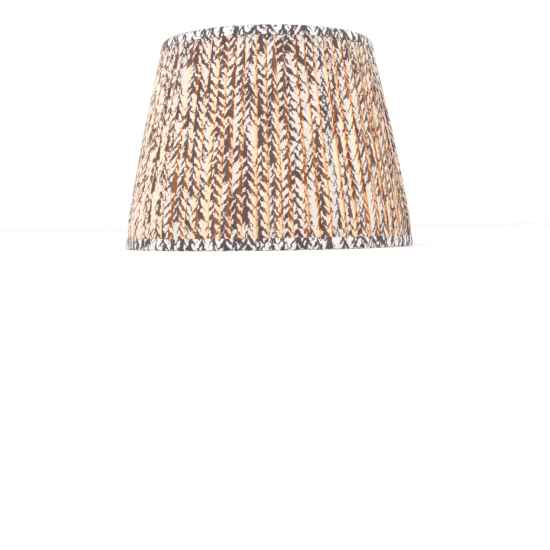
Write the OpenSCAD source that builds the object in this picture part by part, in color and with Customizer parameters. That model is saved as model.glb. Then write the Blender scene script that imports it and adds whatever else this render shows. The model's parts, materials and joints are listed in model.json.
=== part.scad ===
// Pleated empire lamp shade. A wire frame of two rings and straight ribs carries a cloth lining inside and
// a knife-pleated cloth cover outside, finished with a folded trim round each rim. A gimbal ring for the
// lampholder hangs from two pivot pins, so the same shade suits a table lamp or, turned over, a ceiling pendant.
// The origin is the centre of the bottom rim, +Z is up and the gimbal turns about X.

/* [Shade] */
// Diameter across the bottom rim
base_d = 400; // [360:10:440]
// Diameter across the top rim
top_d = 290; // [250:10:310]
// Height from the bottom rim to the top rim
height = 280; // [240:10:320]

/* [Pleated cover] */
// Knife pleats round the cover
pleat_count = 72; // [48:4:96]
// How far the pleats belly out between the trims
belly = 4; // [2:0.5:6]
// Depth of the step at each fold, halfway up
fold_step = 1.6; // [0.8:0.2:2.4]

/* [Trims] */
// Thickness of the folded trim cloth
trim_t = 0.8; // [0.6:0.1:1.2]
// Width of the trim seen at the bottom rim
bottom_trim_w = 15; // [12:1:20]
// Width of the trim seen at the top rim
top_trim_w = 13; // [10:1:18]
// Width of the trim turned in over the lining
turn_in_w = 9; // [7:1:11]

/* [Wire frame] */
// Ribs between the two rings, an even number so that the pivot pins face each other
rib_count = 8; // [6:2:12]
// Diameter of the ring wire
ring_wire_d = 4; // [3:0.5:5]
// Diameter of the rib wire
rib_wire_d = 3; // [2:0.5:3.5]
// Thickness of the binding tape round each ring
tape_t = 0.5; // [0.3:0.1:0.8]
// Thickness of the lining cloth
lining_t = 0.6; // [0.4:0.1:0.8]

/* [Gimbal] */
// Height of the pivot axis above the bottom rim
pivot_z = 130; // [110:5:150]
// Drop from the pivot axis to the middle of the gimbal ring
gimbal_drop = 45; // [40:5:60]
// Bore of the gimbal ring, for the larger lampholder
gimbal_bore_d = 42; // [40:1:44]
// Bore of the reducer ring, for the smaller lampholder
reducer_bore_d = 29; // [28:0.5:30]
// Diameter of the pivot pins
pin_d = 4; // [3:0.5:5]

/* [Hidden] */
$fn = 96;
gap = 0.1;                                      // clearance between cloths and parts that touch

slope = (base_d - top_d) / 2 / height;          // how fast the shade narrows as it rises
lean = atan(slope);                             // the same, as an angle from the vertical

// The cloths and the wires lie in layers, each a radial distance in from the shade's outline.
cover_edge_t = 2.2;                             // cover pressed flat under a trim
cover_in = trim_t + gap + cover_edge_t;         // inner face of the cover
bound_r = ring_wire_d / 2 + tape_t;             // radius of a ring with its tape
frame_in = cover_in + (bound_r + gap) / cos(lean);
lining_out = frame_in + (bound_r + gap) / cos(lean);
lining_in = lining_out + lining_t;
turn_in_out = lining_in + gap;
turn_in_in = turn_in_out + trim_t;

ring_z0 = trim_t + gap + bound_r;               // height of the bottom ring's wire
ring_z1 = height - ring_z0;                     // height of the top ring's wire
cloth_z0 = trim_t + gap;                        // lower edge of cover and lining
cloth_z1 = height - cloth_z0;                   // upper edge of cover and lining
cover_rows = 6;                                 // bands of facets between the two trims

pin_r = pin_d / 2;
pin_clearance = 0.06;                           // running clearance of the arm's eye on its pin
shoulder_r = pin_r + 2;
shoulder_x = outline_r(pivot_z) - lining_in - 4.5;
eye_t = 3;                                      // thickness of an arm's eye
eye_r = pin_r + 4;
eye_x0 = shoulder_x - gap - eye_t;
head_r = pin_r + 1.6;
head_t = 1.2;
head_x1 = eye_x0 - gap;
neatener_r = 9;
neatener_t = 0.6;

gimbal_ring_t = 3;
gimbal_ring_w = 4;                              // width of metal round the bore
gimbal_z = pivot_z - gimbal_drop;
gimbal_rim_r = gimbal_bore_d / 2 + gimbal_ring_w;
arm_wire_r = 1.5;
arm_spread = 35;                                // half angle between an arm's wires at the ring
arm_knee_x = 62;                                // where the wires start to climb
arm_knee_y = 10;
eye_drop = 15;                                  // how far the wires join below the pivot axis
eye_wire_y = 3;

reducer_fit = 0.3;                              // radial slack of the reducer in the gimbal ring
flange_t = 1.5;
flange_r = gimbal_rim_r - 1;
chamfer = 0.4;

RIBS = [for (i = [1 : rib_count]) str("rib_", i)];

// Radius of the shade's outline at height z
function outline_r(z) = base_d / 2 - slope * z;
// Radius of a layer that lies a radial distance in from the outline
function layer_r(z, inset) = outline_r(z) - inset;

// A round wire or tube bent into a hoop at height z
module hoop(z, r) {
    translate([0, 0, z]) rotate_extrude($fn = 180) translate([layer_r(z, frame_in), 0]) circle(r, $fn = 32);
}

// A straight wire from one ring's centre line to the other's, on the +X side
module rib_wire(r) {
    rise = ring_z1 - ring_z0;
    translate([layer_r(ring_z0, frame_in), 0, ring_z0])
        rotate([0, -lean, 0]) cylinder(r = r, h = rise / cos(lean), $fn = 32);
}

module each_rib() {
    for (i = [0 : rib_count - 1]) rotate(360 / rib_count * i) children();
}

module rib(i) {
    color("ivory") difference() {
        rotate(360 / rib_count * (i - 1)) rib_wire(rib_wire_d / 2);
        hoop(ring_z0, ring_wire_d / 2);
        hoop(ring_z1, ring_wire_d / 2);
    }
}

module ring(z) {
    color("ivory") hoop(z, ring_wire_d / 2);
}

// The tape is wound on the ring from each rib to the next
module ring_tape(z) {
    hoop_r = layer_r(z, frame_in);
    beside_rib = atan((rib_wire_d / 2 + gap) / hoop_r);
    color("linen") translate([0, 0, z]) each_rib() rotate(beside_rib)
        rotate_extrude(angle = 360 / rib_count - 2 * beside_rib, $fn = 180) translate([hoop_r, 0])
            difference() {
                circle(bound_r, $fn = 32);
                circle(ring_wire_d / 2, $fn = 32);
            }
}

module lining() {
    color("seashell") difference() {
        rotate_extrude($fn = 180) polygon([
            [layer_r(cloth_z0, lining_out), cloth_z0], [layer_r(cloth_z1, lining_out), cloth_z1],
            [layer_r(cloth_z1, lining_in), cloth_z1], [layer_r(cloth_z0, lining_in), cloth_z0]]);
        translate([0, 0, pivot_z]) rotate([0, 90, 0]) cylinder(r = shoulder_r + 0.3, h = base_d, center = true);
    }
}

// A strip folded over a rim: seen leg outside, flat across the rim, short leg turned in over the lining
module trim(rim_z, up, seen_w) {
    seen_z = rim_z + up * seen_w;
    fold_z = rim_z + up * trim_t;
    turn_z = rim_z + up * turn_in_w;
    color("thistle") rotate_extrude($fn = 180) polygon([
        [layer_r(rim_z, 0), rim_z], [layer_r(seen_z, 0), seen_z],
        [layer_r(seen_z, trim_t), seen_z], [layer_r(fold_z, trim_t), fold_z],
        [layer_r(fold_z, turn_in_out), fold_z], [layer_r(turn_z, turn_in_out), turn_z],
        [layer_r(turn_z, turn_in_in), turn_z], [layer_r(rim_z, turn_in_in), rim_z]]);
}

// 0 under the trims, 1 halfway between them, along a parabola
seen_z0 = bottom_trim_w;
seen_z1 = height - top_trim_w;
function fullness(z) =
    z <= seen_z0 || z >= seen_z1 ? 0 : 4 * (z - seen_z0) * (seen_z1 - z) / pow(seen_z1 - seen_z0, 2);

cover_z = concat([cloth_z0],
    [for (i = [0 : cover_rows]) seen_z0 + (seen_z1 - seen_z0) * i / cover_rows], [cloth_z1]);
cover_cols = 2 * pleat_count;                   // a high and a low point for each pleat
flat_step = 0.3;                                // step of a fold pressed under a trim

function pleat_angle(c) = (floor((c + 1) / 2) - (c % 2) * 0.12) * 360 / pleat_count;
function pleat_depth(c, z) = (c % 2) * (flat_step + (fold_step - flat_step) * fullness(z));
function cover_out_r(c, z) = layer_r(z, trim_t + gap) + belly * fullness(z) - pleat_depth(c, z);
// The inner corners stand out a little, so that the flats between them still clear the taped rings
function cover_in_r(z) = (layer_r(z, cover_in) + belly / 2 * fullness(z)) / cos(180 / pleat_count);
function round_point(r, a, z) = [r * cos(a), r * sin(a), z];
// Corner c of the loop round row r: the outer loops come first, then the inner loops
function corner(side, r, c) = (side * len(cover_z) + r) * cover_cols + c % cover_cols;
// Two triangles for the patch between corners a, b, c and d
function patch(a, b, c, d) = [[a, b, c], [a, c, d]];

// The cover: a closed shell whose outside steps in and out with the knife pleats
module pleated_cover() {
    rows = len(cover_z);
    skin = [for (side = [0, 1]) for (z = cover_z) for (c = [0 : cover_cols - 1])
        round_point(side == 0 ? cover_out_r(c, z) : cover_in_r(z), pleat_angle(c), z)];
    walls = [for (r = [0 : rows - 2]) for (c = [0 : cover_cols - 1]) each concat(
        patch(corner(0, r, c), corner(0, r + 1, c), corner(0, r + 1, c + 1), corner(0, r, c + 1)),
        patch(corner(1, r, c), corner(1, r, c + 1), corner(1, r + 1, c + 1), corner(1, r + 1, c)))];
    edges = [for (c = [0 : cover_cols - 1]) each concat(
        patch(corner(0, 0, c), corner(0, 0, c + 1), corner(1, 0, c + 1), corner(1, 0, c)),
        patch(corner(0, rows - 1, c), corner(1, rows - 1, c), corner(1, rows - 1, c + 1),
            corner(0, rows - 1, c + 1)))];
    color("mistyrose") polyhedron(skin, concat(walls, edges), convexity = 10);
}

// A cylinder along X from x0 to x1 at the pivot height
module along_x(x0, x1, r) {
    translate([x0, 0, pivot_z]) rotate([0, 90, 0]) cylinder(r = r, h = x1 - x0);
}

// Everything on the gimbal's axis is drawn on the right and mirrored to the left
module on_side(side) {
    mirror([side == "left" ? 1 : 0, 0, 0]) children();
}

// A turned pin: a shoulder welded to the rib, the pin that the arm turns on, and a peened head
module pivot_pin(side) {
    color("silver") on_side(side) difference() {
        union() {
            along_x(shoulder_x, layer_r(pivot_z, frame_in), shoulder_r);
            along_x(head_x1 - gap, shoulder_x + gap, pin_r);
            along_x(head_x1 - head_t, head_x1, head_r);
        }
        rib_wire(rib_wire_d / 2);
    }
}

module neatener(side) {
    sagitta = pow(neatener_r, 2) / 2 / layer_r(pivot_z, lining_in);
    color("linen") on_side(side)
        translate([layer_r(pivot_z, lining_in) - sagitta - gap, 0, pivot_z]) rotate([0, -90 - lean, 0])
            difference() {
                cylinder(r = neatener_r, h = neatener_t);
                translate([0, 0, -1]) cylinder(r = shoulder_r + 0.3, h = neatener_t + 2);
            }
}

// Turns what follows, drawn along +Z from the origin, to start at p and point at q
module from_to(p, q) {
    d = q - p;
    translate(p) rotate([0, acos(d[2] / norm(d)), atan2(d[1], d[0])]) children();
}

// An arm's wire runs level from the ring to a knee, then climbs to the foot of the eye
module gimbal_wire(side, s) {
    start = [gimbal_rim_r * cos(arm_spread) - 1, s * gimbal_rim_r * sin(arm_spread), gimbal_z];
    knee = [arm_knee_x, s * arm_knee_y, gimbal_z];
    foot = [eye_x0 + eye_t / 2, s * eye_wire_y, pivot_z - eye_drop];
    color("ivory") on_side(side) difference() {
        union() {
            from_to(start, knee) cylinder(r = arm_wire_r, h = norm(knee - start), $fn = 24);
            from_to(knee, foot) sphere(arm_wire_r + 0.15, $fn = 24);
            from_to(knee, foot) cylinder(r = arm_wire_r, h = norm(foot - knee), $fn = 24);
        }
        translate([0, 0, gimbal_z]) cylinder(r = gimbal_rim_r, h = 4 * arm_wire_r, center = true);
        translate([eye_x0, -eye_r, pivot_z - eye_drop - eye_r]) cube(2 * eye_r);
    }
}

// A flat eye that turns on the pivot pin
module gimbal_eye(side) {
    color("ivory") on_side(side) difference() {
        union() {
            along_x(eye_x0, eye_x0 + eye_t, eye_r);
            translate([0, 0, -eye_drop]) along_x(eye_x0, eye_x0 + eye_t, eye_r);
            translate([eye_x0, -eye_r, pivot_z - eye_drop]) cube([eye_t, 2 * eye_r, eye_drop]);
        }
        along_x(eye_x0 - 1, eye_x0 + eye_t + 1, pin_r + pin_clearance);
    }
}

module gimbal_ring() {
    color("ivory") translate([0, 0, gimbal_z]) difference() {
        cylinder(r = gimbal_rim_r, h = gimbal_ring_t, center = true);
        cylinder(d = gimbal_bore_d, h = 2 * gimbal_ring_t, center = true);
    }
}

// A flanged plastic insert that sits in the gimbal ring, flush with its underside
module reducer_ring() {
    spigot_r = gimbal_bore_d / 2 - reducer_fit;
    spigot_h = gimbal_ring_t + gap;
    bore_r = reducer_bore_d / 2;
    top = spigot_h + flange_t;
    color("whitesmoke") translate([0, 0, gimbal_z - gimbal_ring_t / 2]) rotate_extrude() polygon([
        [bore_r, 0], [spigot_r - chamfer, 0], [spigot_r, chamfer], [spigot_r, spigot_h],
        [flange_r, spigot_h], [flange_r, top - chamfer], [flange_r - chamfer, top], [bore_r, top]]);
}

ring(ring_z1);  // top_ring
ring(ring_z0);  // bottom_ring
for (i = [1 : rib_count]) rib(i);
ring_tape(ring_z1);  // top_ring_tape
ring_tape(ring_z0);  // bottom_ring_tape
lining();
pleated_cover();
trim(height, -1, top_trim_w);  // top_trim
trim(0, 1, bottom_trim_w);  // bottom_trim
pivot_pin("left");  // pivot_pin_left
pivot_pin("right");  // pivot_pin_right
neatener("left");  // neatener_left
neatener("right");  // neatener_right
gimbal_ring();
gimbal_eye("left");  // gimbal_eye_left
gimbal_eye("right");  // gimbal_eye_right
gimbal_wire("left", -1);  // gimbal_wire_front_left
gimbal_wire("left", 1);  // gimbal_wire_back_left
gimbal_wire("right", -1);  // gimbal_wire_front_right
gimbal_wire("right", 1);  // gimbal_wire_back_right
reducer_ring();
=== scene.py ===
# Pleated empire lamp shade: printed cotton in knife pleats over a lined wire frame, lit from inside.
import json
import math

import bmesh
import bpy
import numpy as np
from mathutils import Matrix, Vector


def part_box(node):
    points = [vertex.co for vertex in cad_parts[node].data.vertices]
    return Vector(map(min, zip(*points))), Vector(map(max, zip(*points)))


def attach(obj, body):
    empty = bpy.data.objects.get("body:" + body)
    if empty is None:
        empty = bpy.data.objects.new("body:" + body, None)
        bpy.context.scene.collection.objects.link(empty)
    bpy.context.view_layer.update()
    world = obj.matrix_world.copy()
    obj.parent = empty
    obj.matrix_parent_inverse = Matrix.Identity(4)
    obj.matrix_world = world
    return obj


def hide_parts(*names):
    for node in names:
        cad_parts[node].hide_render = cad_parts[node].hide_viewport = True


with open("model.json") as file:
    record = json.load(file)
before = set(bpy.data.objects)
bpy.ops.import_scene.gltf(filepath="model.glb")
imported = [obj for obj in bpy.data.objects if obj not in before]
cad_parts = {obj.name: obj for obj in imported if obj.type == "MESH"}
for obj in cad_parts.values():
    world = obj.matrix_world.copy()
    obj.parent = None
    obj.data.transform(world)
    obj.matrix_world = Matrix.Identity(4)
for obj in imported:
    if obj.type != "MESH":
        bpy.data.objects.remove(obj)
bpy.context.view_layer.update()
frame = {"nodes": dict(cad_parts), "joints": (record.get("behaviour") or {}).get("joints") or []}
nodes = frame["nodes"]
mm = 0.001
print("frame loaded:", len(nodes), "parts")


def cadPoints(node):
    # All vertices of a CAD part as an (n, 3) array.
    points = np.zeros(len(nodes[node].data.vertices) * 3)
    nodes[node].data.vertices.foreach_get("co", points)
    return points.reshape(-1, 3)


def outerRadiusAt(node, z):
    # Largest distance from the shade's axis among a part's points at height z.
    points = cadPoints(node)
    level = np.abs(points[:, 2] - z) < 0.2 * mm  # the CAD points are within this of a level
    return np.hypot(points[level, 0], points[level, 1]).max()


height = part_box("top_trim")[1].z
baseRadius = outerRadiusAt("bottom_trim", 0)
topRadius = outerRadiusAt("top_trim", height)
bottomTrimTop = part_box("bottom_trim")[1].z
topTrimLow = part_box("top_trim")[0].z
liningLow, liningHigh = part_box("lining")[0].z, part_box("lining")[1].z
liningInset = baseRadius - outerRadiusAt("lining", liningLow) - (baseRadius - topRadius) * liningLow / height
slant = math.hypot(height, baseRadius - topRadius) / height  # length up the side for each metre of height
leanAngle = math.atan2(baseRadius - topRadius, height)
pivotZ = frame["joints"][0]["pos_m"][2]


def outline(z):
    # Radius of the straight-sided outline at height z.
    return baseRadius - (baseRadius - topRadius) * np.asarray(z) / height


def smooth(t):
    # 0 to 1 with a level start and finish: 3t^2 - 2t^3, held at 0 and 1 outside.
    t = np.clip(t, 0, 1)
    return t * t * (3 - 2 * t)


rims = {
    "rounding": 2.2 * mm,    # how far the cloth draws in at a rim
    "roundHeight": 7 * mm,   # over this height
    "flare": 0.8 * mm,       # how far the bottom trim's upper edge is pushed out by the pleats
}


def shareUp(z):
    # 0 at the bottom trim's upper edge to 1 at the top trim's lower edge
    return np.clip((z - bottomTrimTop) / (topTrimLow - bottomTrimTop), 0, 1)


def swell(z):
    # Outward from the straight outline: - rounding * (1 - distance to rim / round height)^2 at each rim, and
    # + flare, which fades up the side as (1 - share)^3.
    low = np.clip(1 - z / rims["roundHeight"], 0, 1) ** 2
    high = np.clip(1 - (height - z) / rims["roundHeight"], 0, 1) ** 2
    return rims["flare"] * smooth(z / bottomTrimTop) * (1 - shareUp(z)) ** 3 - rims["rounding"] * (low + high)


def addMesh(name, points, faces, uv=None):
    # A smooth-shaded mesh from an (n, 3) array of points, an (m, 4) array of corners and (m, 4, 2) of UVs.
    mesh = bpy.data.meshes.new(name)
    mesh.from_pydata(points.tolist(), [], faces.tolist())
    if uv is not None:
        mesh.uv_layers.new(name="cloth").data.foreach_set("uv", uv.reshape(-1).astype(np.float32))
    mesh.polygons.foreach_set("use_smooth", np.ones(len(mesh.polygons), bool))
    mesh.update()
    piece = bpy.data.objects.new(name, mesh)
    bpy.context.scene.collection.objects.link(piece)
    return piece


def gridFaces(rows, columns, closeRows, closeColumns):
    # Corner numbers of a grid of points, row by row; a closed direction joins its last line to its first.
    row = np.arange(rows if closeRows else rows - 1)[:, None]
    column = np.arange(columns if closeColumns else columns - 1)[None, :]
    nextRow = (row + 1) % rows
    nextColumn = (column + 1) % columns
    corners = [row * columns + column, row * columns + nextColumn,
               nextRow * columns + nextColumn, nextRow * columns + column]
    return np.stack([np.broadcast_to(c, (len(row), column.size)) for c in corners], -1).reshape(-1, 4)


def gridUv(uvGrid, rows, columns):
    # UVs for gridFaces: uvGrid has one line more than the mesh in each closed direction.
    return np.stack([uvGrid[:rows, :columns], uvGrid[:rows, 1:columns + 1],
                     uvGrid[1:rows + 1, 1:columns + 1], uvGrid[1:rows + 1, :columns]], -2).reshape(-1, 4, 2)


def uvGridOf(downRows, acrossColumns):
    # a UV grid from one value for each row and one for each column
    return np.stack(np.broadcast_arrays(downRows[:, None], acrossColumns[None, :]), -1)


def gridPiece(name, points, uvGrid=None, closeRows=False, closeColumns=False, keep=None):
    # A mesh from a (rows, columns, 3) grid. uvGrid covers every face corner; faces where keep is False are
    # dropped.
    rows, columns = points.shape[:2]
    faces = gridFaces(rows, columns, closeRows, closeColumns)
    uv = None
    if uvGrid is not None:
        uv = gridUv(uvGrid, rows if closeRows else rows - 1, columns if closeColumns else columns - 1)
    if keep is not None:
        faces = faces[keep]
        uv = None if uv is None else uv[keep]
    return addMesh(name, points.reshape(-1, 3), faces, uv)


def roundAngles(count):
    # angles evenly round a circle
    return np.linspace(0, 2 * math.pi, count, endpoint=False)


def aroundAxis(radius, angle, z):
    # Points at a radius, an angle about the shade's axis and a height.
    radius, angle, z = np.broadcast_arrays(radius, angle, z)
    return np.stack([radius * np.cos(angle), radius * np.sin(angle), z], -1)


def line(tree, base, slope, value):
    # base + slope * value
    return calc(tree, "ADD", base, calc(tree, "MULTIPLY", value, slope))


def connect(tree, sockets, values):
    # Sets each socket to its number, or links it to another node's output.
    for socket, value in zip(sockets, values):
        if isinstance(value, (int, float)):
            socket.default_value = value
        else:
            tree.links.new(value, socket)


def calc(tree, operation, *values, clamp=False):
    # A Math node; each value is a number or another node's output.
    node = tree.nodes.new("ShaderNodeMath")
    node.operation = operation
    node.use_clamp = clamp
    connect(tree, node.inputs, values)
    return node.outputs[0]


def setColor(tree, socket, color):
    if isinstance(color, tuple):
        socket.default_value = (*color, 1)
    else:
        tree.links.new(color, socket)


def mixColors(tree, factor, first, second, blend="MIX"):
    # A colour Mix node; each colour is a tuple or an output.
    node = tree.nodes.new("ShaderNodeMix")
    node.data_type = "RGBA"
    node.blend_type = blend
    connect(tree, node.inputs[:1], (factor,))
    setColor(tree, node.inputs[6], first)
    setColor(tree, node.inputs[7], second)
    return node.outputs[2]


def noise(tree, vector, scale, detail=2, roughness=0.5):
    # A 3D noise node at so many blotches a metre.
    node = tree.nodes.new("ShaderNodeTexNoise")
    node.inputs["Scale"].default_value = scale
    node.inputs["Detail"].default_value = detail
    node.inputs["Roughness"].default_value = roughness
    tree.links.new(vector, node.inputs["Vector"])
    return node


def splitColor(tree, color):
    node = tree.nodes.new("ShaderNodeSeparateColor")
    tree.links.new(color, node.inputs[0])
    return node.outputs


def splitVector(tree, vector):
    node = tree.nodes.new("ShaderNodeSeparateXYZ")
    tree.links.new(vector, node.inputs[0])
    return node.outputs


def joinVector(tree, x, y, z):
    node = tree.nodes.new("ShaderNodeCombineXYZ")
    connect(tree, node.inputs, (x, y, z))
    return node.outputs[0]


def randoms(tree, vector):
    # Three random numbers for each whole-numbered vector.
    node = tree.nodes.new("ShaderNodeTexWhiteNoise")
    node.noise_dimensions = "3D"
    tree.links.new(vector, node.inputs["Vector"])
    return splitColor(tree, node.outputs["Color"])


def newGroup(name, inputs, outputs):
    # A shader node group with named inputs (name, kind, value) and outputs (name, kind).
    tree = bpy.data.node_groups.new(name, "ShaderNodeTree")
    for label, kind, value in inputs:
        socket = tree.interface.new_socket(label, in_out="INPUT", socket_type="NodeSocket" + kind)
        if value is not None:
            socket.default_value = value
    for label, kind in outputs:
        tree.interface.new_socket(label, in_out="OUTPUT", socket_type="NodeSocket" + kind)
    start = tree.nodes.new("NodeGroupInput")
    end = tree.nodes.new("NodeGroupOutput")
    return tree, start.outputs, end.inputs


def useGroup(tree, group, **values):
    # Places a group in a material; each value is a number or an output, under the input's own name.
    node = tree.nodes.new("ShaderNodeGroup")
    node.node_tree = group
    connect(tree, [node.inputs[label] for label in values], values.values())
    return node.outputs


leaf = {
    "column": 30 * mm,       # distance between columns of sprigs
    "tier": 12.2 * mm,       # and between the leaflets up a sprig
    "thin": 0.5 * mm,        # taken off every edge
    "wander": (5.8 * mm, 6.0 * mm),  # how far edges stray across and up
    "wanderScale": 210,
    "drip": 8.5 * mm,        # upright streaks at the edges
    "dripScale": 190,
    "slope": (0.65, 0.8),    # least droop of a leaflet, and how much more it may be
    "sprigTiers": 3.3,       # tiers in one sprig
    "lean": 7 * mm,          # how far a sprig stands to one side of its column
    "stagger": 0.2,          # tiers between the left and the right leaflets
    "reach": (0.62, 0.76),   # least length of a leaflet and how much more, as shares of the set's size
    "taper": 0.55,           # how much shorter the leaflets are at the tip
    "sprigSize": (0.72, 0.56),  # the same again for a whole sprig
    "width": (0.62, 0.36),   # width of a leaflet as a share of its tier, and how much more
    "body": (1.0 * mm, 5.2 * mm),  # least half width at a sprig's foot, and how much more
    "sharpness": 2600,       # how hard the ink's edge is
    "sets": ((0.0, 3.0, 0.58), (0.5, 17.0, 0.33)),  # shift in columns, random start, size in columns
}


def makeLeafPrint():
    # Upright sprigs in columns. Each has a body, half width = size * (1 - growth), and drooping leaflets:
    # tiers are counted along height + slope * distance out, and in each tier the leaflet is inked out to
    # reach * (1 - tier share / width). Growth runs from 0 at a sprig's foot to 1 at its tip. A second,
    # smaller set stands half a column over.
    tree, given, result = newGroup(
        "leafPrint",
        (("Cloth", "Vector", None), ("Column", "Float", leaf["column"]),
         ("Tier", "Float", leaf["tier"]), ("Thin", "Float", leaf["thin"])),
        (("Ink", "Float"), ("Shade", "Float")))
    cloth, column, tier, thin = given[:4]

    def add(*values, **options):
        return calc(tree, "ADD", *values, **options)

    def less(*values):
        return calc(tree, "SUBTRACT", *values)

    def times(*values):
        return calc(tree, "MULTIPLY", *values)

    def step(operation, *values):
        return calc(tree, operation, *values)

    def between(chance, least, more):
        return line(tree, least, more, chance)

    def stray(chance, amount):
        # from -amount / 2 to amount / 2
        return times(less(chance, 0.5), amount)

    wander = splitColor(tree, noise(tree, cloth, leaf["wanderScale"], 1.5, 0.5).outputs["Color"])
    across, up = splitVector(tree, cloth)[:2]
    streaks = joinVector(tree, times(across, 3.0), times(up, 0.7), 5.0)
    drip = noise(tree, streaks, leaf["dripScale"], 1.5, 0.5).outputs[0]
    u = add(across, stray(wander[0], leaf["wander"][0]))
    v = add(up, stray(wander[1], leaf["wander"][1]))
    v = add(v, stray(drip, leaf["drip"]))
    inked = []
    for shift, seed, size in leaf["sets"]:
        index = step("ROUND", add(step("DIVIDE", u, column), shift))
        raw = less(u, times(less(index, shift), column))
        whole = add(index, seed)
        perColumn = randoms(tree, joinVector(tree, whole, 0.5, 0.5))
        lifted = add(v, perColumn[0])
        slope = between(perColumn[1], *leaf["slope"])
        drop = times(slope, step("ABSOLUTE", raw))
        sprig = step("DIVIDE", add(lifted, times(drop, 0.8)), times(tier, leaf["sprigTiers"]))
        growth = step("FRACT", sprig)
        perSprig = randoms(tree, joinVector(tree, whole, step("FLOOR", sprig), 9.0))
        x = add(raw, stray(perSprig[1], leaf["lean"]))
        side = step("SIGN", x)
        out = step("ABSOLUTE", x)
        stagger = times(side, times(tier, leaf["stagger"]))
        climb = step("DIVIDE", add(add(lifted, times(slope, out)), stagger), tier)
        perLeaf = randoms(tree, joinVector(tree, whole, side, step("FLOOR", climb)))
        reach = times(times(column, size), between(perLeaf[0], *leaf["reach"]))
        reach = times(reach, less(1.0, times(growth, leaf["taper"])))
        reach = times(reach, between(perSprig[2], *leaf["sprigSize"]))
        width = between(perLeaf[2], *leaf["width"])
        leaflet = times(reach, less(1.0, step("DIVIDE", step("FRACT", climb), width)))
        body = times(less(1.0, growth), between(perSprig[0], *leaf["body"]))
        inked.append((less(step("MAXIMUM", leaflet, body), add(out, thin)), perLeaf[1]))
    both = step("MAXIMUM", inked[0][0], inked[1][0])
    tree.links.new(add(0.5, times(both, leaf["sharpness"]), clamp=True), result["Ink"])
    tree.links.new(inked[0][1], result["Shade"])
    return tree


def makeWeave():
    # Plain weave: warp and weft are rounded ridges, sin of the distance across each thread, and the one that
    # lies over is picked by a chequer of the thread numbers. Slubs are long thin noise along each thread.
    tree, given, result = newGroup(
        "plainWeave", (("Cloth", "Vector", None), ("Threads", "Float", 2200.0)),
        (("Height", "Float"), ("Slub", "Float")))
    across, up = splitVector(tree, given[0])[:2]
    warp = calc(tree, "MULTIPLY", across, given[1])
    weft = calc(tree, "MULTIPLY", up, given[1])
    ridges = [calc(tree, "ABSOLUTE", calc(tree, "SINE", calc(tree, "MULTIPLY", thread, math.pi)))
              for thread in (warp, weft)]
    floors = calc(tree, "ADD", calc(tree, "FLOOR", warp), calc(tree, "FLOOR", weft))
    over = calc(tree, "ABSOLUTE", calc(tree, "MODULO", floors, 2.0))
    under = calc(tree, "SUBTRACT", 1.0, over)
    top = calc(tree, "ADD", calc(tree, "MULTIPLY", ridges[0], over), calc(tree, "MULTIPLY", ridges[1], under))
    tree.links.new(top, result["Height"])
    long = noise(tree, joinVector(tree, calc(tree, "MULTIPLY", across, 12.0), up, 0.0), 160, 2).outputs[0]
    wide = noise(tree, joinVector(tree, across, calc(tree, "MULTIPLY", up, 12.0), 3.0), 160, 2).outputs[0]
    tree.links.new(calc(tree, "MULTIPLY", calc(tree, "ADD", long, wide), 0.5), result["Slub"])
    return tree


def makeCoating():
    # Powder coat: fine orange-peel height, and slow patches that grime and yellow it a little.
    tree, given, result = newGroup(
        "powderCoat", (("Place", "Vector", None),), (("Height", "Float"), ("Patch", "Float")))
    tree.links.new(noise(tree, given[0], 1400, 2).outputs[0], result["Height"])
    patch = noise(tree, given[0], 70, 4, 0.6).outputs[0]
    patch = calc(tree, "MULTIPLY", calc(tree, "SUBTRACT", patch, 0.42), 4.0, clamp=True)
    tree.links.new(patch, result["Patch"])
    return tree


leafPrint = makeLeafPrint()
plainWeave = makeWeave()
powderCoat = makeCoating()


def newMaterial(name, roughness, **settings):
    # A material with one Principled shader; settings are its own sockets' values.
    material = bpy.data.materials.new(name)
    material.use_nodes = True
    tree = material.node_tree
    shader = tree.nodes["Principled BSDF"]
    shader.inputs["Roughness"].default_value = roughness
    for label, value in settings.items():
        shader.inputs[label].default_value = value
    return material, tree, shader


def bumpFrom(tree, height, distance, strength=1.0):
    node = tree.nodes.new("ShaderNodeBump")
    node.inputs["Strength"].default_value = strength
    node.inputs["Distance"].default_value = distance
    tree.links.new(height, node.inputs["Height"])
    return node.outputs[0]


def letLightThrough(tree, shader, color, share, normal):
    # Mixes the cloth's own surface with light that comes through it from behind.
    glow = tree.nodes.new("ShaderNodeBsdfTranslucent")
    setColor(tree, glow.inputs["Color"], color)
    tree.links.new(normal, glow.inputs["Normal"])
    mix = tree.nodes.new("ShaderNodeMixShader")
    mix.inputs[0].default_value = share
    tree.links.new(shader.outputs[0], mix.inputs[1])
    tree.links.new(glow.outputs[0], mix.inputs[2])
    tree.links.new(mix.outputs[0], tree.nodes["Material Output"].inputs["Surface"])


def clothVector(tree):
    node = tree.nodes.new("ShaderNodeUVMap")
    node.uv_map = "cloth"
    return node.outputs[0]


def placeVector(tree):
    return tree.nodes.new("ShaderNodeTexCoord").outputs["Object"]


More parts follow.
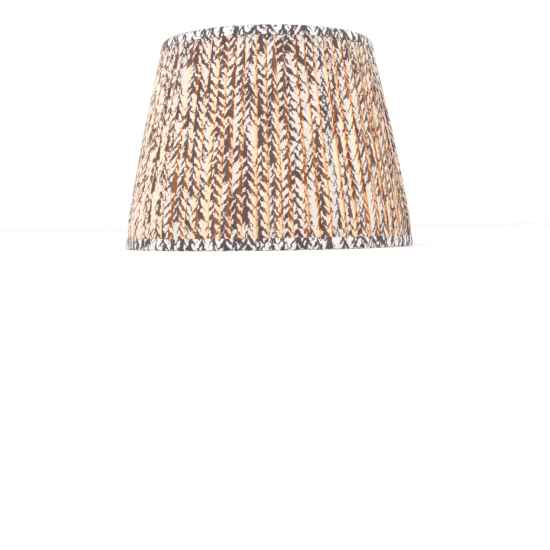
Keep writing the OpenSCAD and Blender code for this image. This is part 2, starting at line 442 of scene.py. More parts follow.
printColors = {
    "ground": (0.87, 0.84, 0.80),        # unprinted cotton
    "groundDeep": (0.80, 0.765, 0.725),  # the same where the yarn is thin
    "groundTriplePaintedLight": (0.97, 0.93, 0.88),  # where three layers lie together, lighter with painted light sent back by the layers beneath
    "groundSinglePaintedGlow": (0.92, 0.80, 0.67),  # where one layer lies over the lining, with painted lamp glow
    "groundRecessPaintedGlowShade": (0.88, 0.66, 0.38),  # at the bottom of a fold, with painted lamp glow and painted shade
    "ink": (0.060, 0.038, 0.048),        # mauve-grey ink
    "inkFaded": (0.130, 0.088, 0.098),   # where the ink took least
    "inkTriplePaintedLight": (0.082, 0.046, 0.045),  # ink on three layers, warmed by painted lamp light
    "inkSinglePaintedGlow": (0.170, 0.080, 0.053),  # ink on one layer, with painted lamp glow
    "inkRecessPaintedGlowShade": (0.14, 0.045, 0.015),   # ink at the bottom of a fold, with painted lamp glow and painted shade
    "groundGlow": (1.0, 0.80, 0.56),     # the same cloth with a lamp behind it
    "inkGlow": (0.40, 0.20, 0.12),
}


def ramp(tree, value, low, high):
    # 0 below low, 1 above high, straight between
    return calc(tree, "DIVIDE", calc(tree, "SUBTRACT", value, low), high - low, clamp=True)


def paintedShadeByWeave(tree, color, height):
    # painted shade between the threads: colour * (0.88 + 0.14 * thread height)
    depth = line(tree, 0.88, 0.14, height)
    gray = joinVector(tree, depth, depth, depth)
    return mixColors(tree, 1.0, color, gray, "MULTIPLY")


def printedCotton(name, through, thin, gathered):
    # Cotton with the leaf print. Through is the share of light that comes through from behind. On gathered
    # cloth
    # the attribute "lay" runs from 0, three layers, to 1, the bottom of a fold; the colours carry painted
    # light:
    # lighter on three layers, painted lamp glow on one, and painted glow and shade at the bottom of a fold.
    material, tree, shader = newMaterial(name, 0.88, **{"Sheen Weight": 0.06, "Specular IOR Level": 0.18})
    cloth = clothVector(tree)
    ink, shade = useGroup(tree, leafPrint, Cloth=cloth, Thin=thin)[:2]
    weaveHeight, slub = useGroup(tree, plainWeave, Cloth=cloth, Threads=2200.0)[:2]
    deep, pale, dark = "groundDeep", "ground", "ink"
    if gathered:
        # three layers take lighter, warmer colours: painted light
        deep, pale, dark = "ground", "groundTriplePaintedLight", "inkTriplePaintedLight"
    ground = mixColors(tree, slub, printColors[deep], printColors[pale])
    faded = calc(tree, "MULTIPLY", shade, slub)
    inkColor = mixColors(tree, faded, printColors[dark], printColors["inkFaded"])
    if gathered:
        lay = tree.nodes.new("ShaderNodeAttribute")
        lay.attribute_name = "lay"
        # painted lamp glow where one layer lies over the lining
        singlePaintedGlow = ramp(tree, lay.outputs["Fac"], 0.15, 0.4)
        # painted lamp glow and painted shade at the bottom of a fold
        recessPaintedGlowShade = ramp(tree, lay.outputs["Fac"], 0.70, 0.92)
        ground = mixColors(tree, singlePaintedGlow, ground, printColors["groundSinglePaintedGlow"])
        ground = mixColors(tree, recessPaintedGlowShade, ground, printColors["groundRecessPaintedGlowShade"])
        inkColor = mixColors(tree, singlePaintedGlow, inkColor, printColors["inkSinglePaintedGlow"])
        inkColor = mixColors(tree, recessPaintedGlowShade, inkColor, printColors["inkRecessPaintedGlowShade"])
    # ink misses the hollows between threads
    taken = line(tree, 0.85, 0.17, weaveHeight)
    printed = mixColors(tree, calc(tree, "MULTIPLY", ink, taken, clamp=True), ground, inkColor)
    tree.links.new(paintedShadeByWeave(tree, printed, weaveHeight), shader.inputs["Base Color"])
    normal = bumpFrom(tree, weaveHeight, 0.10 * mm, 0.7)
    tree.links.new(normal, shader.inputs["Normal"])
    glow = mixColors(tree, ink, printColors["groundGlow"], printColors["inkGlow"])
    letLightThrough(tree, shader, glow, through, normal)
    return material


def plainCotton(name, light, deep, through=0, glow=None, threads=2000.0):
    # Plain woven cotton in two close shades, threads to the metre.
    material, tree, shader = newMaterial(name, 0.88, **{"Sheen Weight": 0.15, "Specular IOR Level": 0.25})
    cloth = clothVector(tree)
    weaveHeight, slub = useGroup(tree, plainWeave, Cloth=cloth, Threads=threads)[:2]
    woven = paintedShadeByWeave(tree, mixColors(tree, slub, deep, light), weaveHeight)
    tree.links.new(woven, shader.inputs["Base Color"])
    normal = bumpFrom(tree, weaveHeight, 0.10 * mm, 0.7)
    tree.links.new(normal, shader.inputs["Normal"])
    if through:
        letLightThrough(tree, shader, glow, through, normal)
    return material


def coatedWire(name, light, worn):
    # Powder-coated steel, a little yellowed in patches.
    material, tree, shader = newMaterial(name, 0.42, **{"Coat Weight": 0.15, "Coat Roughness": 0.3})
    coatHeight, patch = useGroup(tree, powderCoat, Place=placeVector(tree))[:2]
    tree.links.new(mixColors(tree, patch, light, worn), shader.inputs["Base Color"])
    tree.links.new(line(tree, 0.36, 0.16, patch), shader.inputs["Roughness"])
    tree.links.new(bumpFrom(tree, coatHeight, 0.05 * mm, 0.5), shader.inputs["Normal"])
    return material


def turnedSteel(name):
    # Bright steel with the fine rings of a lathe, which follow the distance from the pivot axis.
    material, tree, shader = newMaterial(name, 0.3, **{"Metallic": 1.0})
    y, z = splitVector(tree, placeVector(tree))[1:3]
    up = calc(tree, "SUBTRACT", z, pivotZ)
    squared = calc(tree, "ADD", calc(tree, "MULTIPLY", y, y), calc(tree, "MULTIPLY", up, up))
    distance = calc(tree, "SQRT", squared)
    rings = calc(tree, "SINE", calc(tree, "MULTIPLY", distance, 2 * math.pi / (0.16 * mm)))
    wear = noise(tree, placeVector(tree), 900, 3).outputs[0]
    tree.links.new(mixColors(tree, wear, (0.46, 0.45, 0.43), (0.66, 0.65, 0.63)), shader.inputs["Base Color"])
    tree.links.new(line(tree, 0.2, 0.25, wear), shader.inputs["Roughness"])
    tree.links.new(bumpFrom(tree, rings, 0.01 * mm, 0.5), shader.inputs["Normal"])
    return material


def mouldedPlastic(name):
    # White plastic with a fine spark-eroded grain.
    material, tree, shader = newMaterial(name, 0.45, **{"Subsurface Weight": 0.1, "Subsurface Scale": 0.002})
    place = placeVector(tree)
    grain = noise(tree, place, 2600, 2).outputs[0]
    cloud = noise(tree, place, 60, 2).outputs[0]
    clouded = mixColors(tree, cloud, (0.80, 0.79, 0.75), (0.88, 0.87, 0.84))
    tree.links.new(clouded, shader.inputs["Base Color"])
    tree.links.new(line(tree, 0.38, 0.2, cloud), shader.inputs["Roughness"])
    tree.links.new(bumpFrom(tree, grain, 0.03 * mm, 0.6), shader.inputs["Normal"])
    return material


cream = {"light": (0.86, 0.82, 0.74), "deep": (0.78, 0.73, 0.64)}
coverMaterial = printedCotton("printed_cotton", through=0.31, thin=1.1 * mm, gathered=True)
trimMaterial = printedCotton("printed_cotton_trim", through=0.05, thin=0.2 * mm, gathered=False)
liningMaterial = plainCotton("lining_cotton", **cream, through=0.80, glow=(1.0, 0.91, 0.78))
tapeMaterial = plainCotton("binding_tape", (0.84, 0.80, 0.72), (0.74, 0.69, 0.60), threads=1400.0)
neatenerMaterial = plainCotton("neatener_cotton", **cream)
threadMaterial = plainCotton("sewing_thread", (0.84, 0.80, 0.73), (0.70, 0.65, 0.57), threads=3000.0)
wireMaterial = coatedWire("frame_wire", (0.80, 0.78, 0.72), (0.72, 0.67, 0.57))
gimbalMaterial = coatedWire("gimbal_wire", (0.82, 0.80, 0.75), (0.74, 0.70, 0.61))
steelMaterial = turnedSteel("pivot_steel")
plasticMaterial = mouldedPlastic("reducer_plastic")
print("materials ready")


def finishPiece(piece, material, slot, body, *replaced):
    # Gives a new piece its material, the body it rides on and the parts that it stands for. The slot is not
    # used.
    piece.data.materials.append(material)
    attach(piece, body)
    if replaced:
        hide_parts(*replaced)


cover = {
    "pleats": 72,
    "unevenness": 0.26,      # share by which a pleat's width strays
    "drift": 0.07,           # and by which it strays again on the way up
    "foldUnder": 0.78,       # share of the next pleat, at the top rim, that is folded under it
    "foldStray": 0.1,        # share by which that strays
    "leastUnder": 1.5 * mm,  # least cloth folded under
    "mostUnder": 0.9,        # and most, as a share of the next pleat
    "nose": 1.0 * mm,        # length of the rounded outer fold
    "layers": 2.2,           # height of a pleat in layers
    "belly": 3.6 * mm,       # how far the pleats stand out halfway up
    "puff": 3.4 * mm,        # and further where they spring from the bottom trim
    "puffRise": 0.1,         # within this share of the height
    "plyPressed": 0.62 * mm,  # distance between the layers under a trim
    "plyFree": 1.45 * mm,    # and out in the open
    "loft": 0.22,            # share by which that strays
    "release": 20 * mm,      # height over which the layers open out above a trim
    "faceInset": 1.0 * mm,   # outer face of the pressed pleats, in from the outline
    "meander": 0.5 * mm,     # how far a fold strays from a straight line
    "rows": 46,
    "seed": 7,
}

# One pleat's section, from its outer fold along the visible layer, round the inner fold and back. Each point:
# part of the section, how far along that part, height in layers, and the "lay" value that sets the colours'
# painted lamp glow and painted shade.
pleatSection = (
    ("nose", 0.9, 1.02, 0), ("nose", 0.25, 1.12, 0), ("nose", 0.0, 1.55, 0), ("nose", 0.25, 2.02, 0),
    ("nose", 0.9, 2.16, 0), ("face", 0.35, 2.2, 0), ("face", 0.72, 2.12, 0), ("face", 0.96, 1.98, 0.12),
    ("slope", 0.04, 1.88, 0.42), ("slope", 0.34, 1.4, 0.5), ("slope", 0.62, 0.78, 0.6),
    ("slope", 0.80, 0.24, 0.75), ("slope", 0.90, 0.05, 0.95), ("slope", 1.0, 0.0, 1),
    ("under", 0.35, 0.0, 1), ("under", 0.8, 0.02, 1),
    ("under", 0.97, 0.2, 1), ("under", 1.0, 0.5, 1), ("under", 0.97, 0.8, 0), ("under", 0.8, 0.96, 0),
    ("under", 0.4, 1.0, 0),
)


def layPleats():
    # Visible width of every pleat at the base and at the top, as shares of the round, and its cloth.
    rng = np.random.default_rng(cover["seed"])
    count = cover["pleats"]
    base = 1 + cover["unevenness"] * rng.uniform(-1, 1, count)
    top = base * (1 + cover["drift"] * rng.uniform(-1, 1, count))
    base, top = base / base.sum(), top / top.sum()
    topWidths = top * 2 * math.pi * topRadius
    folded = cover["foldUnder"] * np.roll(topWidths, -1)
    cloth = topWidths + 2 * folded * (1 + cover["foldStray"] * rng.uniform(-1, 1, count))
    return base, top, cloth, rng


def makeCover():
    # Knife pleats: at each height, each pleat's section is stretched between its fold and the next one. The
    # cloth in a pleat is the same at every height, so what isn't seen is folded under:
    # under = (cloth - seen) / 2.
    base, top, cloth, rng = layPleats()
    count, rows = cover["pleats"], cover["rows"]
    # rows are close together under and beside the trims, and even between them
    pressed, opening = np.array([0, 0.5, 1]), np.array([4, 10]) * mm
    inner = np.linspace(bottomTrimTop + 18 * mm, topTrimLow - 18 * mm, rows - 10)
    z = np.concatenate([pressed * bottomTrimTop, bottomTrimTop + opening, inner, topTrimLow - opening[::-1],
                        height - pressed[::-1] * (height - topTrimLow)])
    z = np.clip(z, liningLow, liningHigh)[:, None, None]
    rise = z / height
    s = shareUp(z)
    fullness = 4 * s * (1 - s)
    opened = smooth(np.minimum(z - bottomTrimTop, topTrimLow - z) / cover["release"])
    loft = 1 + cover["loft"] * rng.uniform(-1, 1, (1, count, 1))
    ply = cover["plyPressed"] + (cover["plyFree"] * loft - cover["plyPressed"]) * opened
    puffed = cover["belly"] * fullness + cover["puff"] * smooth(s / cover["puffRise"]) * (1 - s) ** 3
    outer = outline(z) - cover["faceInset"] + swell(z) + puffed
    # folds: straight lines from base to top, with a slow meander between the trims
    shareEnds = np.stack([np.concatenate([[0], np.cumsum(base)]), np.concatenate([[0], np.cumsum(top)])])
    phase = rng.uniform(0, 2 * math.pi, (2, 1, count + 1, 1))
    waves = rng.uniform(0.7, 2.2, (1, count + 1, 1))
    sway = np.sin(phase[0] + waves * math.pi * s) + 0.5 * np.sin(phase[1] + 2.7 * waves * math.pi * s)
    sway = sway * cover["meander"] * np.sqrt(fullness) * rng.uniform(0.3, 1, (1, count + 1, 1))
    sway[:, -1] = sway[:, 0]
    foldShare = shareEnds[0][None, :, None] * (1 - rise) + shareEnds[1][None, :, None] * rise
    foldArc = foldShare * 2 * math.pi * outer + sway
    seen = np.diff(foldArc, axis=1)
    under = (cloth[None, :, None] - seen) / 2
    under = np.clip(under, cover["leastUnder"], cover["mostUnder"] * np.roll(seen, -1, axis=1))
    before = np.roll(under, 1, axis=1)
    # each part of the section as a start and a length along the round
    part = np.array([{"nose": 0, "face": 1, "slope": 2, "under": 3}[p[0]] for p in pleatSection])
    along = np.array([p[1] for p in pleatSection])[None, None, :]
    layers = np.array([p[2] for p in pleatSection])[None, None, :]
    nose = np.full_like(before, cover["nose"])
    starts = np.concatenate([np.zeros_like(before), nose * 0.9, before, seen], -1)[:, :, part]
    lengths = np.concatenate([nose, before - nose * 0.9, seen - before, under], -1)[:, :, part]
    arc = foldArc[:, :-1] + starts + lengths * along
    radius = outer - cover["layers"] * ply + layers * ply
    angle = math.pi / 2 + arc / outer
    points = aroundAxis(radius, angle, z).reshape(rows, -1, 3)
    # flat cloth: the length along each section, scaled to the cloth that the pleat was given
    closed = np.concatenate([points, points[:, :1]], 1)
    lengthRun = np.cumsum(np.linalg.norm(np.diff(closed, axis=1), axis=2), 1)
    run = np.concatenate([np.zeros((rows, 1)), lengthRun], 1)
    marks = run[:, ::len(pleatSection)]
    given = np.concatenate([[0], np.cumsum(cloth)])
    pleatOf = np.minimum(np.arange(run.shape[1]) // len(pleatSection), count - 1)
    share = (run - marks[:, pleatOf]) / (marks[:, pleatOf + 1] - marks[:, pleatOf])
    u = given[pleatOf] + share * cloth[pleatOf]
    v = np.broadcast_to(z[:, :, 0] * slant, u.shape)
    piece = gridPiece("cover_cloth", points, np.stack([u, v], -1), closeColumns=True)
    lay = np.tile([p[3] for p in pleatSection], rows * count).astype(np.float32)
    piece.data.attributes.new("lay", "FLOAT", "POINT").data.foreach_set("value", lay)
    print("cover: %d pleats from %.2f m of cloth" % (count, cloth.sum()))
    return piece, cloth.sum(), (z[-1, 0, 0] - z[0, 0, 0]) * slant


coverCloth, clothWidth, clothHeight = makeCover()
finishPiece(coverCloth, coverMaterial, "printed_cotton", "shade", "pleated_cover")


trim = {
    "thickness": 0.8 * mm,
    "turnIn": 9 * mm,        # width of the leg inside the shade
    "columns": 288,
    "joinWidth": 14 * mm,    # overlap where the strip's two ends meet, at the back
    "joinStep": 0.5 * mm,
    "edgeWander": 0.25 * mm,
    "ripple": 0.12 * mm,     # how far the seen face rides over the pleats beneath
}


def trimSection(rimZ, up, seenWidth):
    # The folded strip's section as a closed loop of (inset from the outline, height): up the outside, over
    # the rounded edge, down inside, across under the rim and up the turned-in leg. up is 1 at the base and
    # -1 at the top.
    t = trim["thickness"]
    turnIn = trim["turnIn"]
    inInset = liningInset + 0.7 * mm

    def leg(inset, z):
        return np.stack(np.broadcast_arrays(inset, z), 1)

    def roundedEdge(inset, z):
        bend = np.linspace(0, math.pi, 7)[1:]
        return leg(inset + t / 2 - t / 2 * np.cos(bend), z - t / 2 + t / 2 * np.sin(bend))

    quarter = np.linspace(0, math.pi / 2, 5)
    innerZ = np.linspace(t * 1.4, turnIn - t / 2, 4)
    section = np.concatenate([
        leg(0, np.linspace(t, seenWidth - t / 2, 7)),                             # seen face
        roundedEdge(0, seenWidth),
        leg(t, np.linspace(seenWidth - t, t, 5)),                                 # against the pleats
        leg(np.linspace(t * 1.5, inInset - t / 2, 4), t),                         # under the wire
        leg(inInset, innerZ),                                                     # against the lining
        roundedEdge(inInset, turnIn),
        leg(inInset + t, innerZ[::-1]),                                           # seen inside
        leg(inInset + t * np.cos(quarter[1:]), t - t * np.sin(quarter[1:])),
        leg(np.linspace(inInset - t, 2 * t, 5), 0),                               # across the rim
        leg(t - t * np.sin(quarter[:-1]), t - t * np.cos(quarter[:-1])),
    ])
    return section[:, 0], rimZ + up * section[:, 1]


def makeTrim(name, rimZ, up, seenWidth, seed, printStart):
    # A strip folded over a rim and carried round it. Its free edges wander a little, its faces ride over the
    # pleats' steps beneath, and its overlapped ends make a low step at the back.
    rng = np.random.default_rng(seed)
    columns = trim["columns"]
    inset, z = trimSection(rimZ, up, seenWidth)
    angle = roundAngles(columns)[None, :]
    inset, z = inset[:, None], z[:, None]
    depth = np.abs(z - rimZ)
    waves = sum(rng.uniform(0.3, 1) * np.sin(n * angle + rng.uniform(0, 6.28))
                for n in (5, 9, 14, 23, 37)) / 3
    ripple = np.sin(cover["pleats"] * angle + 0.8 * np.sin(3 * angle)) * 0.5 + waves
    outsideShare = smooth((depth - 2 * mm) / (5 * mm)) * (inset < 2 * mm)
    halfRound = math.pi * outline(rimZ)
    arc = (angle - math.pi / 2) * outline(rimZ)
    arc = np.where(arc > halfRound, arc - 2 * halfRound, arc)
    halfJoin = trim["joinWidth"] / 2
    join = smooth((arc + halfJoin) / (1.2 * mm)) * smooth((halfJoin - arc) / (6 * mm))
    join = join * (inset < 0.3 * mm) * smooth(depth / (2 * mm))
    out = outsideShare * ripple * trim["ripple"] + join * trim["joinStep"]
    seenEdge = smooth((depth - seenWidth + 3 * mm) / (3 * mm)) * (inset < 2 * mm)
    zShift = up * seenEdge * waves * trim["edgeWander"]
    outside = np.clip((liningInset - inset) / (liningInset - 2 * trim["thickness"]), 0, 1)
    points = aroundAxis(outline(z) - inset + outside * swell(z) + out, angle, z + zShift)
    closedSection = np.concatenate([np.stack([inset[:, 0], z[:, 0]], 1), [[inset[0, 0], z[0, 0]]]])
    across = np.concatenate([[0], np.cumsum(np.linalg.norm(np.diff(closedSection, axis=0), axis=1))])
    around = np.linspace(0, 2 * math.pi, columns + 1) * outline(rimZ)
    uv = np.stack(np.broadcast_arrays(around[None, :] + printStart, up * across[:, None] + 0.3), -1)
    if up > 0:
        points, uv = points[:, ::-1], uv[:, ::-1]
    piece = gridPiece(name, points, uv, closeRows=True, closeColumns=True)
    flatWidth = across[-1] / 2
    return piece, 2 * math.pi * float(outline(rimZ)), flatWidth


for trimName, rimZ, up, seenWidth, seed, printStart, node in (
        ("bottom_trim_cloth", 0.0, 1, bottomTrimTop, 12, 0.4, "bottom_trim"),
        ("top_trim_cloth", height, -1, height - topTrimLow, 10, 5.417, "top_trim")):
    trimCloth, around, flatWidth = makeTrim(trimName, rimZ, up, seenWidth, seed, printStart)
    finishPiece(trimCloth, trimMaterial, "trim_cotton", "shade", node)
print("trims folded over both rims")


lining = {
    "columns": 320,
    "rows": 90,
    "seams": 2,
    "seamWidth": 1.6 * mm,
    "seamDepth": 0.45 * mm,
    "ripple": 0.22 * mm,
    "clearance": 0.3 * mm,   # off the ribs
    "pucker": (0.12 * mm, 9 * mm, 5 * mm),  # depth beside a seam, height of one, reach
    "pinHole": 5.4 * mm,     # left open where the pivot pins pass, under the neateners
}


def makeLining():
    # A cone pulled straight between the rings, with faint upright tension ripples that fade at both rims, and
    # two seams where the cloth draws in. The faces round each pivot pin are left out.
    rng = np.random.default_rng(5)
    rows, columns, seams = lining["rows"], lining["columns"], lining["seams"]
    angle = roundAngles(columns)[None, :]
    z = np.linspace(liningHigh, liningLow, rows)[:, None]
    s = (z - liningLow) / (liningHigh - liningLow)
    ripple = sum(rng.uniform(0.2, 1) * np.sin(n * angle + rng.uniform(0, 6.28) + 0.6 * s)
                 for n in (11, 17, 29, 43, 61)) / 3
    radius = outline(z) - liningInset - lining["clearance"] + ripple * lining["ripple"] * np.sin(math.pi * s)
    toSeam = np.abs((angle * seams / (2 * math.pi)) % 1 - 0.5) * 2 * math.pi / seams * radius
    depth, pitch, reach = lining["pucker"]
    pucker = depth * (1 + 0.5 * np.sin(z * 2 * math.pi / pitch))
    radius = radius + lining["seamDepth"] * np.exp(-(toSeam / lining["seamWidth"]) ** 2)
    radius = radius + pucker * np.exp(-(toSeam / reach) ** 2)
    points = aroundAxis(radius, angle, z)
    around = np.append(angle[0], 2 * math.pi)[None, :] * float(outline(0) - liningInset)
    uv = np.stack(np.broadcast_arrays(around, z * slant), -1)
    centers = points.reshape(-1, 3)[gridFaces(rows, columns, False, True)].mean(1)
    keep = np.hypot(centers[:, 1], centers[:, 2] - pivotZ) > lining["pinHole"]
    return gridPiece("lining_cloth", points, uv, closeColumns=True, keep=keep)


liningCloth = makeLining()
finishPiece(liningCloth, liningMaterial, "lining_cotton", "shade", "lining")
print("lining pulled between the rings")


tape = {
    "width": 10 * mm,
    "advance": 9 * mm,       # how far along the ring one turn goes
    "thickness": 0.45 * mm,
    "across": 14,
    "along": 10,             # points along the ring for each turn
    "lapSlope": 0.12,        # share of a turn over which the edge falls to the wire
}


def tubeRound(ringRadius, wireZ, turn, section, tube):
    # a tube round a ring: radius = ring + tube cos(section), height = ring's height + tube sin(section)
    return aroundAxis(ringRadius + tube * np.cos(section), turn, wireZ + tube * np.sin(section))


def makeTape(name, node):
    # Tape wound round the ring wire. Its outer face steps up by one thickness where a turn laps the last:
    # lap = (turns * angle round the shade + angle round the wire) mod one turn. Its inner face lies on the
    # wire.
    low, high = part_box(node)
    wireZ = (low.z + high.z) / 2
    tubeRadius = (high.z - low.z) / 2 - tape["thickness"]
    ringRadius = high.x - (high.z - low.z) / 2
    turns = round(2 * math.pi * ringRadius / tape["advance"])
    sheets, firstPoint = [], 0
    for rows, across, inside in ((turns * tape["along"], tape["across"], False), (turns * 2, 8, True)):
        turn = roundAngles(rows)[:, None]
        section = roundAngles(across)[None, :]
        lap = (turns * turn + section) / (2 * math.pi) % 1
        raised = tape["thickness"] * lap * smooth((1 - lap) / tape["lapSlope"]) + 0.05 * mm
        tube = tubeRadius - 0.02 * mm + (0 if inside else raised) + 0 * turn
        points = tubeRound(ringRadius, wireZ, turn, section, tube)
        uv = uvGridOf(np.linspace(0, 2 * math.pi, rows + 1) * ringRadius,
                      np.linspace(0, 2 * math.pi, across + 1) * tubeRadius)
        faces, uv = gridFaces(rows, across, True, True), gridUv(uv, rows, across)
        if not inside:
            faces, uv = faces[:, ::-1], uv[:, ::-1]
        sheets.append((points.reshape(-1, 3), faces + firstPoint, uv))
        firstPoint += rows * across
    piece = addMesh(name, *(np.concatenate(arrays) for arrays in zip(*sheets)))
    turnLength = math.hypot(2 * math.pi * tubeRadius, tape["advance"])
    return piece, turns * turnLength


for tapeName, node in (("bottom_tape_winding", "bottom_ring_tape"), ("top_tape_winding", "top_ring_tape")):
    winding, length = makeTape(tapeName, node)
    finishPiece(winding, tapeMaterial, "binding_tape", "shade", node)
print("tape wound on both rings")


neatener = {
    "inner": 4.35 * mm,
    "outer": 9.0 * mm,
    "thickness": 0.9 * mm,
    "columns": 72,
    "stitches": 14,
    "thread": 0.28 * mm,
    "squareness": 0.35,      # 1 would give a round section
    "pucker": 0.12 * mm,     # how far each stitch draws the edge in
    "crown": 0.15 * mm,
}


def pivotFrame(side):
    # Origin and three directions at a pivot pin on the lining: inward, round the shade, and up the slope.
    inner = float(outline(pivotZ)) - liningInset - 0.6 * mm
    origin = np.array([side * inner, 0, pivotZ])
    inward = np.array([-side * math.cos(leanAngle), 0, -math.sin(leanAngle)])
    aside = np.array([0, 1.0, 0])
    upward = np.cross(inward, aside) * side * -1
    return origin, inward, aside, upward


def makeNeatener(name, side):
    # A cloth washer: a closed ring whose section is a flat loop with rounded edges, puckered a little by its
    # stitches, carried round the pin.
    origin, inward, aside, upward = pivotFrame(side)
    turn = roundAngles(neatener["columns"])[:, None]
    loop = roundAngles(24)[None, :]
    middle = (neatener["outer"] + neatener["inner"]) / 2
    half = (neatener["outer"] - neatener["inner"]) / 2
    flatCos = np.sign(np.cos(loop)) * np.abs(np.cos(loop)) ** neatener["squareness"]
    flatSin = np.sign(np.sin(loop)) * np.abs(np.sin(loop)) ** (2 * neatener["squareness"])
    pucker = neatener["pucker"] * np.cos(neatener["stitches"] * turn)
    out = middle + flatCos * (half + pucker)
    crown = neatener["crown"] * np.exp(-((flatCos - 0.2) / 0.5) ** 2) * (flatSin > 0)
    lift = (0.5 + 0.5 * flatSin) * neatener["thickness"] + crown
    points = (origin + out[..., None] * (np.cos(turn)[..., None] * aside + np.sin(turn)[..., None] * upward)
              + lift[..., None] * inward)
    uv = uvGridOf(np.linspace(0, 2 * math.pi, neatener["columns"] + 1) * middle, np.linspace(0, 4 * half, 25))
    if side > 0:
        points, uv = points[:, ::-1], uv[:, ::-1]
    return gridPiece(name, points, uv, closeRows=True, closeColumns=True)


def makeStitches(name, starts, ends, rise, radius):
    # Short threads: each is a tube whose middle line is a half sine arch, rise * sin(pi t), between two
    # points, and whose radius closes to nothing at both ends.
    starts, ends, rise = np.asarray(starts), np.asarray(ends), np.asarray(rise)
    rings, sides = 8, 6
    t = np.linspace(0, 1, rings)[None, :, None, None]
    ring = roundAngles(sides)[None, None, :, None]
    along = ends - starts
    middle = starts[:, None, None] + along[:, None, None] * t + rise[:, None, None] * np.sin(math.pi * t)
    width = np.cross(along, rise)
    width = width / np.linalg.norm(width, axis=1)[:, None]
    tall = rise / np.linalg.norm(rise, axis=1)[:, None]
    thick = radius * np.clip(np.sin(math.pi * t), 0.05, 1) ** 0.4
    points = middle + thick * (np.cos(ring) * width[:, None, None] + np.sin(ring) * tall[:, None, None])
    count = len(starts)
    firstCap = np.array([[0, 5, 4, 3], [0, 3, 2, 1]])
    lastCap = np.array([[0, 1, 2, 3], [0, 3, 4, 5]]) + (rings - 1) * sides
    faces = np.concatenate([gridFaces(rings, sides, False, True), firstCap, lastCap])
    allFaces = (faces[None] + np.arange(count)[:, None, None] * rings * sides).reshape(-1, 4)
    uv = np.stack([faces // sides * 0.4 * mm, faces % sides * 0.2 * mm], -1)
    uv = np.tile(uv[None], (count, 1, 1, 1)).reshape(-1, 4, 2)
    return addMesh(name, points.reshape(-1, 3), allFaces, uv)


def neatenerStitches(name, side):
    # Overcast stitches round the washer's outer edge, leaning a little, each from the cloth over the edge.
    origin, inward, aside, upward = pivotFrame(side)
    turn = roundAngles(neatener["stitches"])[:, None]
    spoke = np.cos(turn) * aside + np.sin(turn) * upward
    leaning = np.cos(turn + 0.1) * aside + np.sin(turn + 0.1) * upward
    starts = origin + spoke * (neatener["outer"] + 0.6 * mm) + inward * 0.05 * mm
    ends = origin + leaning * (neatener["outer"] - 2.0 * mm) + inward * neatener["thickness"]
    rise = np.broadcast_to(inward * 0.75 * mm, starts.shape)
    return makeStitches(name, starts, ends, rise, neatener["thread"])


for sideName, side in (("left", -1), ("right", 1)):
    washer = makeNeatener("neatener_cloth_" + sideName, side)
    finishPiece(washer, neatenerMaterial, "lining_cotton", "shade", "neatener_" + sideName)
    stitches = neatenerStitches("neatener_stitches_" + sideName, side)
    finishPiece(stitches, threadMaterial, "lining_cotton", "shade")
print("neateners sewn on")


weld = {
    "size": (2.5 * mm, 2.0 * mm, 1.35 * mm),  # half lengths along the rim, across it and up
    "ripple": 0.08 * mm,
    "across": 14,
    "around": 20,
}


def nearestSpot(node, other):
    # middle of the node's points that lie closest to the other part's points
    points, target = cadPoints(node), cadPoints(other)
    gap = np.linalg.norm(points[:, None] - target[None], axis=2).min(1)
    close = points[gap <= np.sort(gap)[max(3, len(gap) // 12)]]
    return (close.min(0) + close.max(0)) / 2


def makeWelds():
    # Each bead is an ellipsoid, long way along the rim, with a ripple round it as the weld was laid.
    wires = [n for n in nodes if n.startswith("gimbal_wire")]
    spots = [nearestSpot(wire, "gimbal_ring") for wire in wires]
    spots += [nearestSpot(wire, "gimbal_eye_" + wire.split("_")[-1]) for wire in wires]
    across = np.linspace(0, math.pi, weld["across"])[None, :, None]
    around = roundAngles(weld["around"])[None, None, :]
    spots = np.array(spots)
    facing = np.arctan2(spots[:, 1], spots[:, 0])[:, None, None]
    onRing = (np.hypot(spots[:, 0], spots[:, 1]) < 40 * mm)[:, None, None]
    scale = np.where(onRing, 1.0, 0.8)
    ripple = weld["ripple"] * np.sin(across) * np.cos(7 * across + 2 * np.sin(around))
    long = (weld["size"][0] * scale + ripple) * np.cos(across)
    wide = (weld["size"][1] * scale + ripple) * np.sin(across) * np.cos(around)
    tall = (weld["size"][2] * scale + ripple) * np.sin(across) * np.sin(around)
    offset = np.stack([wide * np.cos(facing) - long * np.sin(facing),
                       wide * np.sin(facing) + long * np.cos(facing), tall + 0 * facing], -1)
    points = (spots[:, None, None] + offset).reshape(len(spots), -1, 3)
    faces = gridFaces(weld["across"], weld["around"], False, True)
    faces = (faces[None] + np.arange(len(spots))[:, None, None] * points.shape[1]).reshape(-1, 4)
    piece = addMesh("gimbal_welds", points.reshape(-1, 3), faces)
    tidyMesh(piece)
    return piece


def tidyMesh(piece):
    # merges the points that meet at poles and turns every face outward
    work = bmesh.new()
    work.from_mesh(piece.data)
    bmesh.ops.remove_doubles(work, verts=work.verts, dist=0.002 * mm)
    bmesh.ops.recalc_face_normals(work, faces=work.faces)
    work.to_mesh(piece.data)
    work.free()


finishPiece(makeWelds(), gimbalMaterial, "gimbal_wire", "gimbal")
print("gimbal welded")


metalAndPlastic = {"rib_": wireMaterial, "top_ring": wireMaterial, "bottom_ring": wireMaterial,
                   "gimbal_": gimbalMaterial, "pivot_pin_": steelMaterial, "reducer_ring": plasticMaterial}
for node, piece in nodes.items():
    for start, material in metalAndPlastic.items():
        if node.startswith(start) and not node.endswith("_tape"):
            piece.data.materials.clear()
            piece.data.materials.append(material)


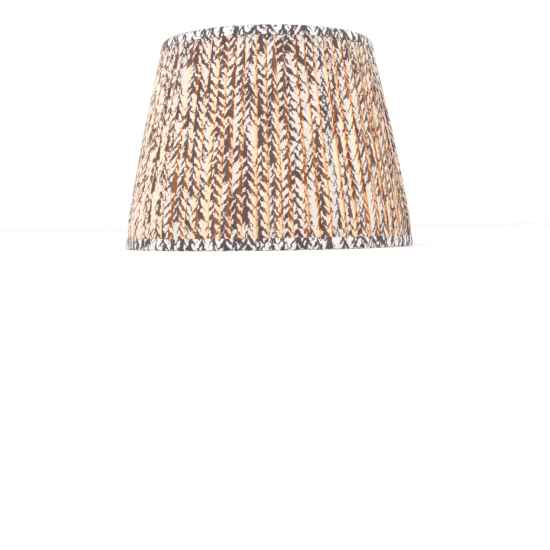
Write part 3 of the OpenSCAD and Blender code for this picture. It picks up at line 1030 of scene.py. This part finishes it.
studio = {
    "bulbZ": 0.170,
    "bulbRadius": 0.035,
    "bulbPower": 1.65,
    "bulbColor": (1.0, 0.62, 0.32),
    "surround": 1.0,
    "floorReach": 8.0,
    "floorColor": (0.95, 0.95, 0.95),
    # place, power, colour and size of each soft light
    "key": ((-2.3, -1.5, 1.3), 29, (0.97, 0.985, 1), 1.2),
    "fill": ((2.2, -1.2, 1.0), 18, (1, 0.985, 0.97), 1.4),
    "top": ((0, 0.4, 2.6), 6, (1, 1, 1), 2.0),
}


def addLight(name, kind, place, power, color=(1, 1, 1), size=1.0, aim=None):
    light = bpy.data.lights.new(name, kind)
    light.energy = power
    light.color = color
    if kind == "AREA":
        light.shape = "DISK"
        light.size = size
    else:
        light.shadow_soft_size = size
    lamp = bpy.data.objects.new(name, light)
    lamp.location = place
    if aim is not None:
        lamp.rotation_euler = (Vector(aim) - Vector(place)).to_track_quat("-Z", "Y").to_euler()
    bpy.context.scene.collection.objects.link(lamp)
    return lamp


def makeFloor():
    # A wide pale sheet that the shade stands on.
    reach = studio["floorReach"]
    corners = reach * np.array([(-1, -1, 0), (1, -1, 0), (1, 1, 0), (-1, 1, 0)])
    floor = addMesh("floor", corners, np.array([[0, 1, 2, 3]]))
    material, tree, shader = newMaterial("pale_floor", 0.9)
    setColor(tree, shader.inputs["Base Color"], studio["floorColor"])
    floor.data.materials.append(material)


def makeStudio():
    middle = (0, 0, height / 2)
    bulb = addLight("bulb", "POINT", (0, 0, studio["bulbZ"]), studio["bulbPower"], studio["bulbColor"],
                    studio["bulbRadius"])
    bulb.visible_camera = False
    for name in ("key", "fill", "top"):
        addLight(name, "AREA", *studio[name], aim=middle)
    world = bpy.data.worlds.new("studio")
    bpy.context.scene.world = world
    world.use_nodes = True
    world.node_tree.nodes["Background"].inputs["Color"].default_value = (1, 1, 1, 1)
    world.node_tree.nodes["Background"].inputs["Strength"].default_value = studio["surround"]
    bpy.context.scene.view_settings.view_transform = "Standard"


view = {
    "distance": 1.373,
    "height": 0.0334,
    "lens": 64.04,
    "pitchDown": 3.054,
    "yaw": 0.327,
    "roll": 0.81,
}


def makeCamera():
    # A view from the front, a little above the bottom rim, aimed slightly down.
    data = bpy.data.cameras.new("camera")
    data.lens = view["lens"]
    data.clip_start = 0.01
    camera = bpy.data.objects.new("camera", data)
    camera.location = (0, -view["distance"], view["height"])
    camera.rotation_euler = (math.radians(90 - view["pitchDown"]), math.radians(view["roll"]),
                             math.radians(-view["yaw"]))
    bpy.context.scene.collection.objects.link(camera)
    bpy.context.scene.camera = camera


makeFloor()
makeStudio()
makeCamera()
print("studio and camera ready")
